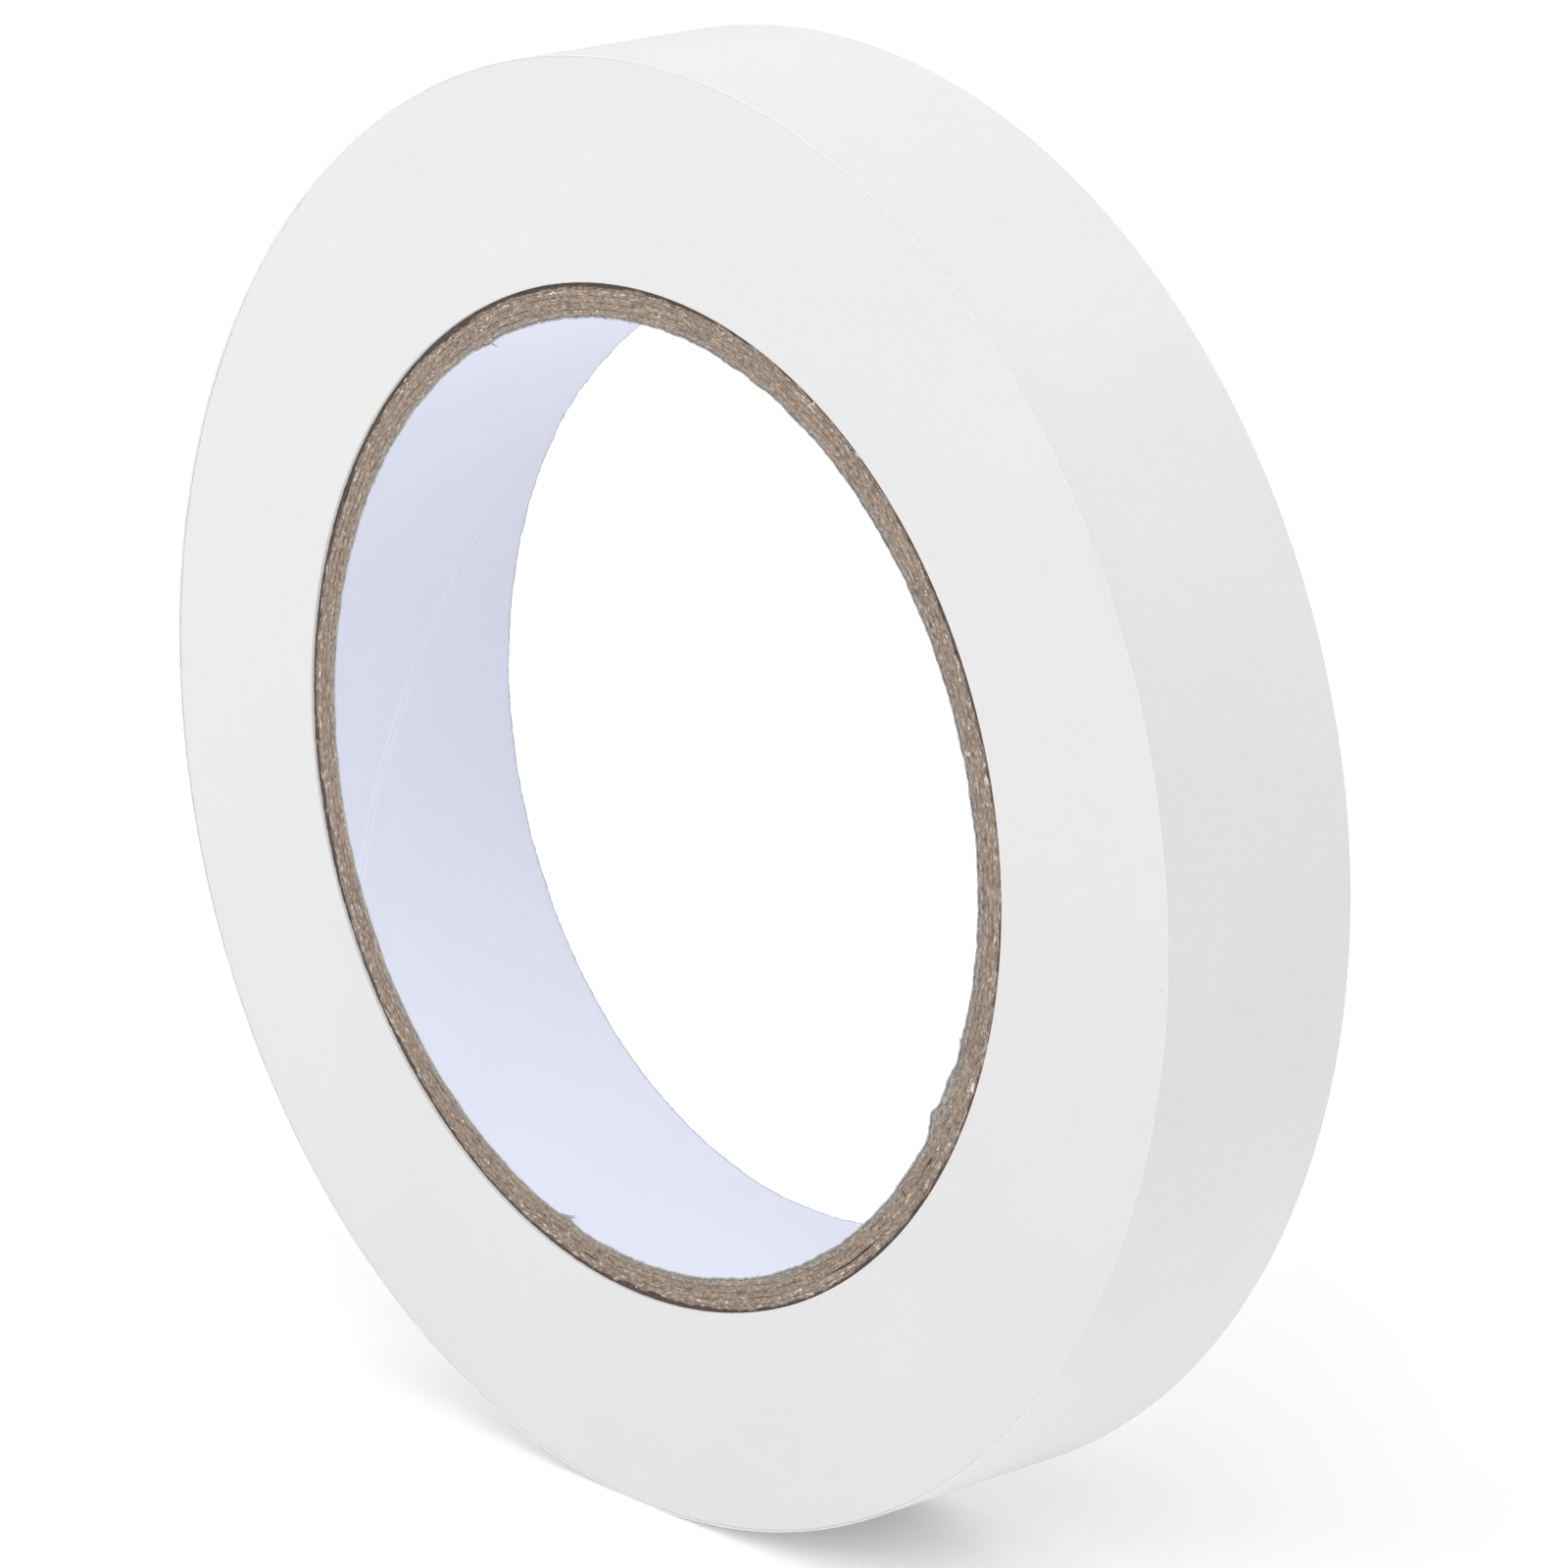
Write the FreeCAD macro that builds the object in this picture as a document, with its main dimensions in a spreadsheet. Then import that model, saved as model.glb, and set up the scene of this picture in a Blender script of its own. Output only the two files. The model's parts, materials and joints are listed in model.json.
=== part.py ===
import FreeCAD, Part
import math
import os

# A roll of masking tape standing on its tread. Millimetres, +Z up, the roll's axis along Y and
# the origin at the middle of the core's bore. Angles run from +X towards +Z, the way the tape
# is wound, so the strip's free end points that way too.

doc = FreeCAD.newDocument("masking_tape_roll")

# Driving dimensions: alias, value, meaning.
SIZES = [
    ("bore_diameter", 76.2, "inside of the paper liner, a three inch core"),
    ("liner_thickness", 0.15, "white paper that faces the bore"),
    ("ply_thickness", 0.5, "one layer of grey-brown chipboard"),
    ("core_recess", 0.2, "how far the core's cut edges lie behind the tape's"),
    ("seam_gap", 0.1, "open butt joint of each helical core layer"),
    ("seam_slant", 63.2, "turn of the butt joints away from the axis, degrees"),
    ("tape_width", 19.0, "width of the strip, three quarters of an inch"),
    ("backing_thickness", 0.1, "creped paper backing"),
    ("adhesive_thickness", 0.025, "rubber adhesive under the backing"),
    ("wind_clearance", 0.015, "air left between the adhesive and the turn below"),
    ("root_angle", 112.0, "where the free end leaves the roll, degrees"),
    ("tail_length", 67.2, "length of the free end that lifts"),
    ("tail_gap", 0.05, "slit between neighbouring lengths of the free end"),
]
TURNS = 125
PLIES = 5
TAIL_LENGTHS = 12
# Where the butt joint of the liner and of each ply crosses the middle of the width, degrees.
LINER_SEAM = 175.5
FIRST_PLY_SEAM = 20.0
PLY_SEAM_STEP = 137.0
FULL_TURN = 360
HALF_CIRCLES = 2 * TURNS
# The slab that cuts a butt joint: its reach in strip widths, and the shares of the layer's inner
# radius at which it starts and over which it runs, so that it passes through the wall.
SLAB_REACH = 3
SLAB_START = 0.75
SLAB_RUN = 0.5

sheet = doc.addObject("Spreadsheet::Sheet", "Sizes")
for row, (alias, value, meaning) in enumerate(SIZES, start=1):
    sheet.set("A%d" % row, meaning)
    sheet.set("B%d" % row, str(value))
    sheet.setAlias("B%d" % row, alias)
doc.recompute()


def size(alias):
    return float(getattr(sheet, alias))


# Radii worked out from the sheet, as expressions for the bound objects.
BORE_RADIUS = "Sizes.bore_diameter / 2"
LINER_OUTER = BORE_RADIUS + " + Sizes.liner_thickness"
CORE_OUTER = LINER_OUTER + " + %d * Sizes.ply_thickness" % PLIES
PITCH = "(Sizes.backing_thickness + Sizes.adhesive_thickness + Sizes.wind_clearance)"
CORE_WIDTH = "(Sizes.tape_width - 2 * Sizes.core_recess)"
# Inner face of the backing at the start of the winding and along the free end.
WIND_START = "(%s + %s - Sizes.backing_thickness)" % (CORE_OUTER, PITCH)
TAIL_RADIUS = "(%s + %d * %s)" % (WIND_START, TURNS, PITCH)
TAIL_OUTER = "(%s + Sizes.backing_thickness)" % TAIL_RADIUS
TAIL_INNER = "(%s - Sizes.adhesive_thickness)" % TAIL_RADIUS
# Angle taken by one length of the free end, and by the slit beside it.
LENGTH_ANGLE = "(Sizes.tail_length / %d / %s * 180 / pi)" % (TAIL_LENGTHS, TAIL_OUTER)
SLIT_ANGLE = "(Sizes.tail_gap / %s * 180 / pi)" % TAIL_OUTER


def cylinder(name, radius, width, angle=None):
    """A cylinder, or a sector of one that starts at +X, along Y and centred on the origin."""
    solid = doc.addObject("Part::Cylinder", name)
    lying = FreeCAD.Rotation(FreeCAD.Vector(1, 0, 0), 90)
    solid.Placement = FreeCAD.Placement(FreeCAD.Vector(0, 0, 0), lying)
    solid.setExpression("Radius", radius)
    solid.setExpression("Height", width)
    solid.setExpression("Placement.Base.y", width + " / 2")
    if angle:
        solid.setExpression("Angle", angle)
    return solid


def cut(name, base, tool):
    solid = doc.addObject("Part::Cut", name)
    solid.Base = base
    solid.Tool = tool
    return solid


def turned(solid, angle):
    """Turn a finished piece about the roll's axis by an angle or an expression in degrees."""
    solid.Placement = FreeCAD.Placement(
        FreeCAD.Vector(0, 0, 0), FreeCAD.Rotation(FreeCAD.Vector(0, -1, 0), 90)
    )
    solid.setExpression("Placement.Rotation.Angle", str(angle))


def seam_knife(name, inner):
    """A thin slab through one side of the core's wall, slanted away from the axis."""
    slab = doc.addObject("Part::Box", name)
    slant = FreeCAD.Rotation(FreeCAD.Vector(-1, 0, 0), 90)
    slab.Placement = FreeCAD.Placement(FreeCAD.Vector(0, 0, 0), slant)
    reach = "(Sizes.tape_width * %d)" % SLAB_REACH
    lean = "(-Sizes.seam_slant * 1 deg)"
    slab.setExpression("Placement.Rotation.Angle", "Sizes.seam_slant")
    slab.setExpression("Length", "(%s) * %g" % (inner, SLAB_RUN))
    slab.setExpression("Width", reach)
    slab.setExpression("Height", "Sizes.seam_gap")
    slab.setExpression("Placement.Base.x", "(%s) * %g" % (inner, SLAB_START))
    slab.setExpression(
        "Placement.Base.y", "-%s / 2 * cos(%s) + Sizes.seam_gap / 2 * sin(%s)" % (reach, lean, lean)
    )
    slab.setExpression(
        "Placement.Base.z", "-%s / 2 * sin(%s) - Sizes.seam_gap / 2 * cos(%s)" % (reach, lean, lean)
    )
    return slab


def core_layer(label, inner, outer, seam_angle):
    """One layer of the core: a tube slit along the slanted butt joint of its wound strip."""
    tube = cut(
        label + "_tube",
        cylinder(label + "_outside", outer, CORE_WIDTH),
        cylinder(label + "_inside", inner, CORE_WIDTH),
    )
    layer = cut(label, tube, seam_knife(label + "_seam", inner))
    turned(layer, seam_angle)
    layer.Label = label
    return layer


def tail_piece(label, inner, outer, number):
    """One length of the free end: a short curved plate that follows the roll."""
    sector = "(%s - %s)" % (LENGTH_ANGLE, SLIT_ANGLE)
    piece = cut(
        label,
        cylinder(label + "_outside", outer, "Sizes.tape_width", sector),
        cylinder(label + "_inside", inner, "Sizes.tape_width", sector),
    )
    turned(piece, "Sizes.root_angle + %s + %d * %s" % (SLIT_ANGLE, number - 1, LENGTH_ANGLE))
    piece.Label = label
    return piece


def arc(centre_x, radius, start, end):
    """An arc in the plane y = 0 about (centre_x, 0, 0), from start to end in radians."""
    points = [
        FreeCAD.Vector(centre_x + radius * math.cos(a), 0, radius * math.sin(a))
        for a in (start, (start + end) / 2, end)
    ]
    return Part.Arc(*points).toShape()


def wound_strip(label):
    """The wound part of the strip as one solid: a spiral of half circles about two centres.

    Each half circle is half a pitch larger than the last and its centre steps across by half a
    pitch, so neighbours are tangent. The last arc stops where the free end begins.
    """
    backing = size("backing_thickness")
    pitch = backing + size("adhesive_thickness") + size("wind_clearance")
    core_outer = size("bore_diameter") / 2 + size("liner_thickness") + PLIES * size("ply_thickness")
    start = core_outer + pitch - backing
    width = size("tape_width")
    root = math.radians(size("root_angle"))
    inner, outer = [], []
    for half_turn in range(HALF_CIRCLES + 1):
        radius = start + half_turn * pitch / 2
        centre_x = pitch / 2 * (half_turn % 2)
        first = math.pi * (half_turn % 2)
        last = root if half_turn == HALF_CIRCLES else first + math.pi
        inner.append(arc(centre_x, radius, first, last))
        outer.append(arc(centre_x, radius + backing, first, last))
    inside = Part.Wire(inner)
    outside = Part.Wire(outer)
    ends = [
        Part.makeLine(inner[0].firstVertex().Point, outer[0].firstVertex().Point),
        Part.makeLine(inner[-1].lastVertex().Point, outer[-1].lastVertex().Point),
    ]
    outline = Part.Wire(Part.__sortEdges__(inside.Edges + outside.Edges + ends))
    strip = doc.addObject("Part::Feature", label)
    strip.Shape = Part.Face(outline).extrude(FreeCAD.Vector(0, width, 0))
    strip.Placement = FreeCAD.Placement(FreeCAD.Vector(0, -width / 2, 0), FreeCAD.Rotation())
    strip.Label = label
    return strip


pieces = [core_layer("core_liner", BORE_RADIUS, LINER_OUTER, LINER_SEAM)]
for ply in range(1, PLIES + 1):
    below = LINER_OUTER + " + %d * Sizes.ply_thickness" % (ply - 1)
    above = LINER_OUTER + " + %d * Sizes.ply_thickness" % ply
    seam = (FIRST_PLY_SEAM + PLY_SEAM_STEP * ply) % FULL_TURN
    pieces.append(core_layer("core_ply_%d" % ply, below, above, seam))
pieces.append(wound_strip("tape_turns"))
for number in range(1, TAIL_LENGTHS + 1):
    pieces.append(tail_piece("tail_backing_%02d" % number, TAIL_RADIUS, TAIL_OUTER, number))
    pieces.append(tail_piece("tail_adhesive_%02d" % number, TAIL_INNER, TAIL_RADIUS, number))

doc.recompute()

for item in doc.Objects:
    if "Invalid" in item.State or "Error" in item.State:
        raise RuntimeError("%s did not recompute: %s" % (item.Label, item.State))
os.makedirs("parts", exist_ok=True)
for piece in pieces:
    if piece.Shape.isNull() or not piece.Shape.isValid() or len(piece.Shape.Solids) != 1:
        raise RuntimeError("%s is not one valid solid" % piece.Label)
    piece.Shape.exportStep(os.path.join("parts", piece.Label + ".step"))
    print("%-18s %10.3f mm3" % (piece.Label, piece.Shape.Volume), flush=True)
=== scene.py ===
import json
import math

import bpy
import numpy as np
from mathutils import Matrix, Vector


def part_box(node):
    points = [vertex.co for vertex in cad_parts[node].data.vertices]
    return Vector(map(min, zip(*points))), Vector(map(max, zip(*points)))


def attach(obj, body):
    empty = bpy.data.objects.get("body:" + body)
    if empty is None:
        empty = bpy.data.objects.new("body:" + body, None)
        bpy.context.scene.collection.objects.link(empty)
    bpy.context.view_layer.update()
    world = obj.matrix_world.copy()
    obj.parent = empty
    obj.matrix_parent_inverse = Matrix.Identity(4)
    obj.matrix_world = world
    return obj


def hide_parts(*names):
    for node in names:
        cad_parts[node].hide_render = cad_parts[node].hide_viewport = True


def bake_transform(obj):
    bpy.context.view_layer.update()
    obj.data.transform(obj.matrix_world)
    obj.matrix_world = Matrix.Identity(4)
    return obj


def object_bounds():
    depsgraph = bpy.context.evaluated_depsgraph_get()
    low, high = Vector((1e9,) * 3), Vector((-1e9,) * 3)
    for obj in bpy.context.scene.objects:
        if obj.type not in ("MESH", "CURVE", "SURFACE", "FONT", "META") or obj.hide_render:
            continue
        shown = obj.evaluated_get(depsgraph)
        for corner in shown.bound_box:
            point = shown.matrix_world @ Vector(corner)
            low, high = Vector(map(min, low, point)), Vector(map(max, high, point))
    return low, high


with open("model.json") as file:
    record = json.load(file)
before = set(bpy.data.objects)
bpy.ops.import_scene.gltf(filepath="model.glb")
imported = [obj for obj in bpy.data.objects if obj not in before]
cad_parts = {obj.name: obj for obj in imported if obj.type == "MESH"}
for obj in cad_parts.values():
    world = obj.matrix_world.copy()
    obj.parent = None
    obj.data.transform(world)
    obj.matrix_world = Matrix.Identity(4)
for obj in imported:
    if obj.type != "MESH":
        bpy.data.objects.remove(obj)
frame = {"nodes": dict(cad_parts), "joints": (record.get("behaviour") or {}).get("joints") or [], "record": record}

# A masking tape roll standing on its tread. Metres, +Z up, the roll's axis along Y. Angles run
# from +X towards +Z, the way the strip is wound.

CAD_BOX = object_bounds()
MM = 0.001
TURN = 2 * math.pi
RECORD = frame["record"]
JOINTS = {joint["name"]: joint for joint in frame["joints"]}

# Sizes read from the frame. BORE, LINER_OUTER, CORE_OUTER and OUTER are radii.
TAPE_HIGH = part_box("tape_turns")[1]
HALF_WIDTH = TAPE_HIGH[1]
LINER_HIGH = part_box("core_liner")[1]
CORE_HALF_WIDTH = LINER_HIGH[1]
BORE = next(m for m in RECORD["mounts"] if m["name"] == "core_bore")["dims"]["r_mm"] * MM
LINER_OUTER = LINER_HIGH[2]
PLY_NODES = sorted(n for n in frame["nodes"] if n.startswith("core_ply_"))
BACKING_NODES = sorted(n for n in frame["nodes"] if n.startswith("tail_backing_"))
CORE_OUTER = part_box(PLY_NODES[-1])[1][2]
PLY = (CORE_OUTER - LINER_OUTER) / len(PLY_NODES)
OUTER = TAPE_HIGH[2]

# Sizes of the strip, as it is wound. The two radii are those of the backing's inner face, at the
# start of the winding and along the free end.
PITCH = 0.14 * MM
BACKING = 0.1 * MM
ADHESIVE = 0.025 * MM
WIND_START = CORE_OUTER + PITCH - BACKING
TAIL_RADIUS = OUTER - BACKING
TAIL_LENGTHS = len(BACKING_NODES)
ROOT = JOINTS["tail_peel"]
ROOT_ANGLE = math.atan2(ROOT["pos_m"][2], ROOT["pos_m"][0])
SECOND = JOINTS["tail_bend_02"]["pos_m"]
LENGTH_ANGLE = math.atan2(SECOND[2], SECOND[0]) - ROOT_ANGLE

# Butt joints of the core's layers: their slant away from the axis, and where they cross the
# middle of the width.
SEAM_SLANT = math.radians(63.2)
LINER_SEAM = math.radians(175.5)
FIRST_PLY_SEAM = math.radians(20)
PLY_SEAM_STEP = math.radians(137)


# ---------------------------------------------------------------- numbers and meshes

def smoothstep(t):
    return t * t * (3 - 2 * t)


def lattice_noise(u, v, cells_u, cells_v, seed):
    """Value noise from -1 to 1 on u, v in 0..1: random numbers on a lattice of cells_u by cells_v,
    joined by smoothstep weights. It repeats in u, so it closes round the roll."""
    grid = np.random.default_rng(seed).uniform(-1, 1, (cells_u, cells_v + 2))
    x = (np.asarray(u) % 1.0) * cells_u
    y = np.clip(v, 0, 1) * cells_v
    i = np.floor(x).astype(int)
    j = np.minimum(np.floor(y).astype(int), cells_v)
    fx, fy = smoothstep(x - i), smoothstep(y - j)
    low = grid[i % cells_u, j] * (1 - fx) + grid[(i + 1) % cells_u, j] * fx
    high = grid[i % cells_u, j + 1] * (1 - fx) + grid[(i + 1) % cells_u, j + 1] * fx
    return low * (1 - fy) + high * fy


def line_noise(x, seed):
    """Value noise from -1 to 1 along a line: a random number at each whole x, joined smoothly."""
    i = np.floor(x).astype(int)
    table = np.random.default_rng(seed).uniform(-1, 1, int(i.max() - i.min()) + 3)
    f = smoothstep(x - i)
    k = i - i.min()
    return table[k] * (1 - f) + table[k + 1] * f


def polar(radius, angle, y):
    """Points at a radius and an angle about the roll's axis, at a place across the width."""
    radius, angle, y = np.broadcast_arrays(radius, angle, y)
    return np.stack([radius * np.cos(angle), y, radius * np.sin(angle)], -1)


def grid_faces(rows, columns, wrap_rows, wrap_columns):
    """Quads of a grid of points, rows by columns, closed on itself where wrap says so."""
    index = np.arange(rows * columns).reshape(rows, columns)
    if wrap_rows:
        index = np.vstack([index, index[:1]])
    if wrap_columns:
        index = np.hstack([index, index[:, :1]])
    corners = (index[:-1, :-1], index[1:, :-1], index[1:, 1:], index[:-1, 1:])
    return np.stack(corners, -1).reshape(-1, 4)


def make_mesh(name, points, quads, flat=0):
    """One mesh from points and quads, turned so that its enclosed volume is positive, which makes
    its faces point outwards. The last few quads, as many as flat says, are shaded flat."""
    a, b, c, d = (points[quads[:, k]] for k in range(4))
    volume = np.einsum("ij,ij->", a, np.cross(b, c)) + np.einsum("ij,ij->", a, np.cross(c, d))
    if volume < 0:
        quads = quads[:, ::-1]
    mesh = bpy.data.meshes.new(name)
    mesh.vertices.add(len(points))
    mesh.vertices.foreach_set("co", points.astype(np.float32).ravel())
    mesh.loops.add(quads.size)
    mesh.loops.foreach_set("vertex_index", np.ascontiguousarray(quads).astype(np.int32).ravel())
    mesh.polygons.add(len(quads))
    mesh.polygons.foreach_set("loop_start", (np.arange(len(quads)) * 4).astype(np.int32))
    mesh.polygons.foreach_set("use_smooth", np.arange(len(quads)) < len(quads) - flat)
    mesh.update(calc_edges=True)
    mesh.validate()
    piece = bpy.data.objects.new(name, mesh)
    bpy.context.scene.collection.objects.link(piece)
    return piece


def ring_mesh(name, points):
    """A closed ring: points go round the roll in rows and round its section in columns."""
    rows, columns = points.shape[:2]
    return make_mesh(name, points.reshape(-1, 3), grid_faces(rows, columns, True, True))


def bar_quads(rows, columns):
    """Quads of a bar, rows along it and columns round its section, with an even number of columns.
    Each end is closed by a ladder of quads between one half of the section and the other."""
    quads = [grid_faces(rows, columns, False, True)]
    k = np.arange(columns // 2 - 1)
    for row in (0, rows - 1):
        first = row * columns
        ladder = np.stack([first + k, first + k + 1,
                           first + columns - 2 - k, first + columns - 1 - k], -1)
        quads.append(ladder if row == 0 else ladder[:, ::-1])
    return np.vstack(quads)


def bar_mesh(name, points):
    """A closed bar from a grid of points, with its two ends shaded flat."""
    rows, columns = points.shape[:2]
    return make_mesh(name, points.reshape(-1, 3), bar_quads(rows, columns), columns - 2)


def many_bars(name, points, mirrored):
    """Many small bars in one mesh; points are by bar, row and column. A bar made on mirrored axes
    has its faces turned round, so that all of them point outwards."""
    count, rows, columns = points.shape[:3]
    every = bar_quads(rows, columns)[None] + (np.arange(count) * rows * columns)[:, None, None]
    every = np.where(mirrored[:, None, None], every[:, :, ::-1], every)
    return make_mesh(name, points.reshape(-1, 3), every.reshape(-1, 4))


# ---------------------------------------------------------------- materials

WHITE = (1, 1, 1)


def grey(level):
    return (level, level, level)


class Nodes:
    """A material's node tree with short calls to add and join nodes."""

    # Places of a Mix node's sockets when it mixes colours.
    MIX_FACTOR, MIX_FIRST, MIX_SECOND, MIX_RESULT = 0, 6, 7, 2

    def __init__(self, name):
        self.material = bpy.data.materials.new(name)
        self.material.use_nodes = True
        self.tree = self.material.node_tree
        self.shader = self.tree.nodes["Principled BSDF"]
        self.place = self.add("ShaderNodeTexCoord").outputs["Object"]
        split = self.add("ShaderNodeSeparateXYZ")
        self.join(self.place, split.inputs[0])
        self.x, self.y, self.z = split.outputs
        self.radius = self.math("SQRT", self.math("MULTIPLY_ADD", self.x, self.x,
                                                  self.math("MULTIPLY", self.z, self.z)))

    def add(self, kind, **settings):
        node = self.tree.nodes.new(kind)
        for key, value in settings.items():
            if key in node.inputs:
                node.inputs[key].default_value = value
            else:
                setattr(node, key, value)
        return node

    def join(self, source, target):
        self.tree.links.new(source, target)

    def noise(self, scale, detail=4.0, roughness=0.55):
        """Noise on object coordinates, with scale in cells per metre along each axis."""
        node = self.add("ShaderNodeTexNoise", Scale=1.0, Detail=detail, Roughness=roughness)
        mapping = self.add("ShaderNodeMapping", Scale=(scale, scale, scale))
        self.join(self.place, mapping.inputs["Vector"])
        self.join(mapping.outputs["Vector"], node.inputs["Vector"])
        return node.outputs["Fac"]

    def ring_lines(self, scale, detail):
        """Noise over the distance from the roll's axis alone, with scale in cells per metre."""
        node = self.add("ShaderNodeTexNoise", noise_dimensions="1D", Scale=1.0, Detail=detail)
        self.join(self.math("MULTIPLY", self.radius, scale), node.inputs["W"])
        return node.outputs["Fac"]

    def ramp(self, value, stops):
        """A colour ramp over value; stops are pairs of a place and a colour."""
        node = self.add("ShaderNodeValToRGB")
        ramp = node.color_ramp
        while len(ramp.elements) < len(stops):
            ramp.elements.new(0.5)
        for element, (place, colour) in zip(ramp.elements, stops):
            element.position = place
            element.color = (*colour, 1)
        self.join(value, node.inputs["Fac"])
        return node.outputs["Color"]

    def mix(self, factor, a, b, blend="MIX"):
        """Blends colour b over colour a. Each of the three is a socket or a constant."""
        node = self.add("ShaderNodeMix", data_type="RGBA", blend_type=blend)
        for source, slot in ((factor, self.MIX_FACTOR), (a, self.MIX_FIRST), (b, self.MIX_SECOND)):
            if isinstance(source, (int, float)):
                node.inputs[slot].default_value = source
            elif isinstance(source, tuple):
                node.inputs[slot].default_value = (*source, 1)
            else:
                self.join(source, node.inputs[slot])
        return node.outputs[self.MIX_RESULT]

    def shade(self, colour, amount, value, stops):
        """Multiplies a colour by a ramp over value, as strongly as the amount says."""
        return self.mix(amount, colour, self.ramp(value, stops), "MULTIPLY")

    def cover(self, colour, mask, amount, paint):
        """Lays paint over a colour where the mask is 1, as strongly as the amount says."""
        return self.mix(self.math("MULTIPLY", mask, amount), colour, paint)

    def math(self, operation, a, b=0.0, c=0.0):
        """A Math node's result. Each operand is a socket or a constant."""
        node = self.add("ShaderNodeMath", operation=operation)
        for slot, source in enumerate((a, b, c)):
            if isinstance(source, (int, float)):
                node.inputs[slot].default_value = source
            else:
                self.join(source, node.inputs[slot])
        return node.outputs[0]

    def wander(self, value, noise, span):
        """Shifts a value by a noise, from half the span down to half the span up."""
        return self.math("MULTIPLY_ADD", self.math("SUBTRACT", noise, 0.5), span, value)

    def bump(self, height, distance, strength, under=None):
        """A normal bumped by a height, on top of an earlier bump where there is one."""
        node = self.add("ShaderNodeBump", Strength=strength, Distance=distance)
        self.join(height, node.inputs["Height"])
        if under:
            self.join(under, node.inputs["Normal"])
        return node.outputs["Normal"]

    def ring_noise(self, around, across, outward, detail=2.0, roughness=0.55):
        """Noise whose cells follow the roll, with cell sizes in metres round it, across its width and
        out from its axis. The place round it is a point of a circle, so the pattern closes."""
        turn = self.add("ShaderNodeCombineXYZ")
        for source, slot in ((self.x, 0), (self.z, 2)):
            unit = self.math("DIVIDE", source, self.radius)
            self.join(self.math("MULTIPLY", unit, CORE_OUTER / around), turn.inputs[slot])
        self.join(self.math("DIVIDE", self.y, across), turn.inputs[1])
        node = self.add("ShaderNodeTexNoise", noise_dimensions="4D", Scale=1.0, Detail=detail,
                        Roughness=roughness)
        self.join(turn.outputs[0], node.inputs["Vector"])
        self.join(self.math("DIVIDE", self.radius, outward), node.inputs["W"])
        return node.outputs["Fac"]

    def between(self, value, low, high):
        """0 where value is under low, 1 where it is over high, with a smooth step between."""
        node = self.add("ShaderNodeMapRange", interpolation_type="SMOOTHSTEP")
        node.inputs["From Min"].default_value = low
        node.inputs["From Max"].default_value = high
        self.join(value, node.inputs["Value"])
        return node.outputs[0]

    def finish(self, colour, roughness, normal=None, specular=0.5):
        """Joins the results to the shader and returns the material."""
        self.join(colour, self.shader.inputs["Base Color"])
        self.shader.inputs["Specular IOR Level"].default_value = specular
        if isinstance(roughness, (int, float)):
            self.shader.inputs["Roughness"].default_value = roughness
        else:
            self.join(roughness, self.shader.inputs["Roughness"])
        if normal:
            self.join(normal, self.shader.inputs["Normal"])
        return self.material


def crepe_material():
    """Creped masking paper seen from its face: nearly white, with faint mottling."""
    nodes = Nodes("crepe_paper")
    cloud = nodes.noise(60, detail=3)
    fibre = nodes.noise(2500, detail=5, roughness=0.7)
    colour = nodes.ramp(cloud, [(0.3, (0.825, 0.827, 0.836)), (0.7, (0.85, 0.852, 0.856))])
    colour = nodes.shade(colour, 0.25, fibre, [(0.3, grey(0.8)), (0.7, WHITE)])
    rough = nodes.math("MULTIPLY_ADD", fibre, 0.15, 0.72)
    normal = nodes.bump(fibre, 0.02 * MM, 0.35)
    return nodes.finish(colour, rough, normal, specular=0.3)


def edge_material():
    """The wound side of the strip: hundreds of paper edges with a little adhesive between them,
    a fine grain, faint rings and a few small grey specks."""
    nodes = Nodes("tape_edges")
    cloud = nodes.noise(45, detail=4)
    grain = nodes.noise(5200, detail=4, roughness=0.8)
    rings = nodes.ring_lines(5200, detail=3)
    colour = nodes.ramp(cloud, [(0.35, (0.682, 0.682, 0.680)), (0.62, (0.698, 0.696, 0.689))])
    colour = nodes.shade(colour, 0.35, grain, [(0.3, grey(0.86)), (0.62, WHITE)])
    colour = nodes.shade(colour, 0.15, rings, [(0.35, (0.9, 0.9, 0.89)), (0.6, WHITE)])
    speck = nodes.ramp(nodes.noise(1500, detail=1), [(0.80, grey(0)), (0.86, WHITE)])
    colour = nodes.cover(colour, speck, 0.4, (0.42, 0.40, 0.37))
    normal = nodes.bump(grain, 0.03 * MM, 0.5)
    normal = nodes.bump(rings, 0.02 * MM, 0.3, normal)
    return nodes.finish(colour, 0.85, normal, specular=0.25)


def adhesive_material():
    """The strip's sticky side: pale cream, a little glossy."""
    nodes = Nodes("adhesive")
    cloud = nodes.noise(300, detail=4)
    colour = nodes.ramp(cloud, [(0.3, (0.80, 0.77, 0.66)), (0.7, (0.87, 0.85, 0.76))])
    rough = nodes.math("MULTIPLY_ADD", cloud, 0.3, 0.25)
    normal = nodes.bump(nodes.noise(900, detail=3), 0.03 * MM, 0.4)
    return nodes.finish(colour, rough, normal)


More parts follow.
